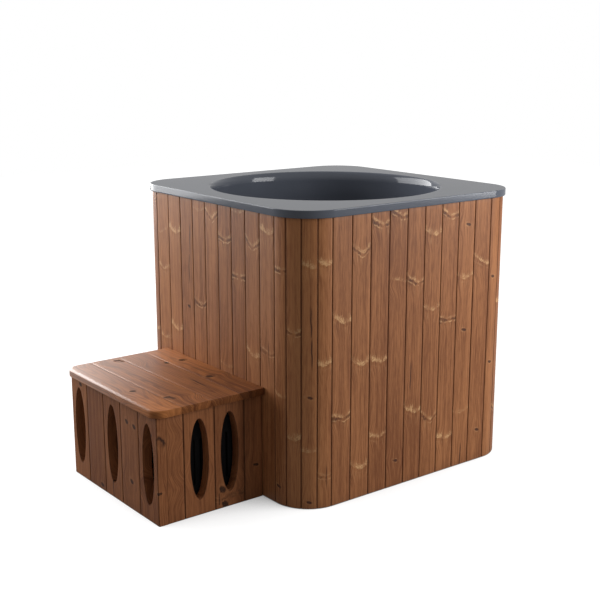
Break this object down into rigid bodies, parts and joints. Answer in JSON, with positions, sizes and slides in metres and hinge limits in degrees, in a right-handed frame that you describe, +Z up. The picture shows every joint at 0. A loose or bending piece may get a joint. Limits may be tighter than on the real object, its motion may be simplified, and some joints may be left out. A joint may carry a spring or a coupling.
{
  "type": "cold plunge tub",
  "caption": "Square boarded tub with a round moulded basin, floor drain and hidden water chiller, and a free-standing wooden step against one side.",
  "frame": {"origin": "on the floor, under the vertical axis of the round basin", "axes": "+Z up, -Y towards the front, the step stands on -X"},
  "size_m": [1.4323, 1.0166, 1.006],
  "materials": {
    "shell": "dark grey moulded plastic with a satin gloss",
    "cladding": "oiled reddish brown softwood boards with knots",
    "step_wood": "oiled reddish brown softwood boards with knots",
    "frame_wood": "plain sawn softwood",
    "plywood": "plain plywood",
    "foam": "pale rigid foam",
    "grey_plastic": "grey moulded plastic",
    "black_rubber": "black rubber",
    "brass": "cast brass",
    "steel": "brushed stainless steel",
    "red_handle": "red coated steel",
    "black_metal": "black powder coat",
    "fins": "bare aluminium fins"
  },
  "bodies": {
    "tub": {"tub_shell": "shell", "cladding_front": "cladding", "cladding_right": "cladding", "cladding_back": "cladding", "cladding_left": "cladding", "corner_staves_front_right": "cladding", "corner_staves_back_right": "cladding", "corner_staves_back_left": "cladding", "corner_staves_front_left": "cladding", "bearer_left": "frame_wood", "bearer_middle": "frame_wood", "bearer_right": "frame_wood", "post_front_left": "frame_wood", "post_front_right": "frame_wood", "post_back_right": "frame_wood", "post_back_left": "frame_wood", "base_board": "plywood", "mid_hoop": "plywood", "top_hoop": "plywood", "foam_jacket": "foam", "floor_slab": "foam", "drain_nut": "grey_plastic", "drain_pipe": "grey_plastic", "suction_fitting": "grey_plastic", "return_fitting": "grey_plastic", "chiller_power_inlet": "grey_plastic", "drain_seal": "black_rubber", "suction_hose": "black_rubber", "return_hose": "black_rubber", "drain_valve_body": "brass", "drain_flange": "steel", "chiller_heat_exchanger": "steel", "chiller_tray": "black_metal", "chiller_cover": "black_metal", "chiller_fan_motor": "black_metal", "chiller_compressor": "black_metal", "chiller_condenser": "fins"},
    "step": {"step_front_board_1": "step_wood", "step_front_board_2": "step_wood", "step_front_board_3": "step_wood", "step_front_board_4": "step_wood", "step_front_board_5": "step_wood", "step_right_board_1": "step_wood", "step_right_board_2": "step_wood", "step_right_board_3": "step_wood", "step_right_board_4": "step_wood", "step_left_board_1": "step_wood", "step_left_board_2": "step_wood", "step_left_board_3": "step_wood", "step_left_board_4": "step_wood", "step_top_board_1": "step_wood", "step_top_board_2": "step_wood", "step_top_board_3": "step_wood", "step_top_board_4": "step_wood", "step_cleat_right": "frame_wood", "step_cleat_left": "frame_wood", "step_cleat_front": "frame_wood"},
    "drain_handle": {"drain_valve_ball": "steel", "drain_valve_lever": "red_handle"},
    "fan": {"chiller_fan": "grey_plastic"}
  },
  "joints": [
    {"name": "step_slide", "type": "slide", "parent": "tub", "child": "step", "axis": [-1, 0, 0], "range_m": [0, 0.6]},
    {"name": "drain_valve_turn", "type": "hinge", "parent": "tub", "child": "drain_handle", "pos_m": [-0.555, 0.13, 0.0826], "axis": [0, -1, 0], "range_deg": [0, 90]},
    {"name": "fan_spin", "type": "hinge", "parent": "tub", "child": "fan", "pos_m": [-0.814, -0.084, 0.165], "axis": [-1, 0, 0], "continuous": true}
  ]
}
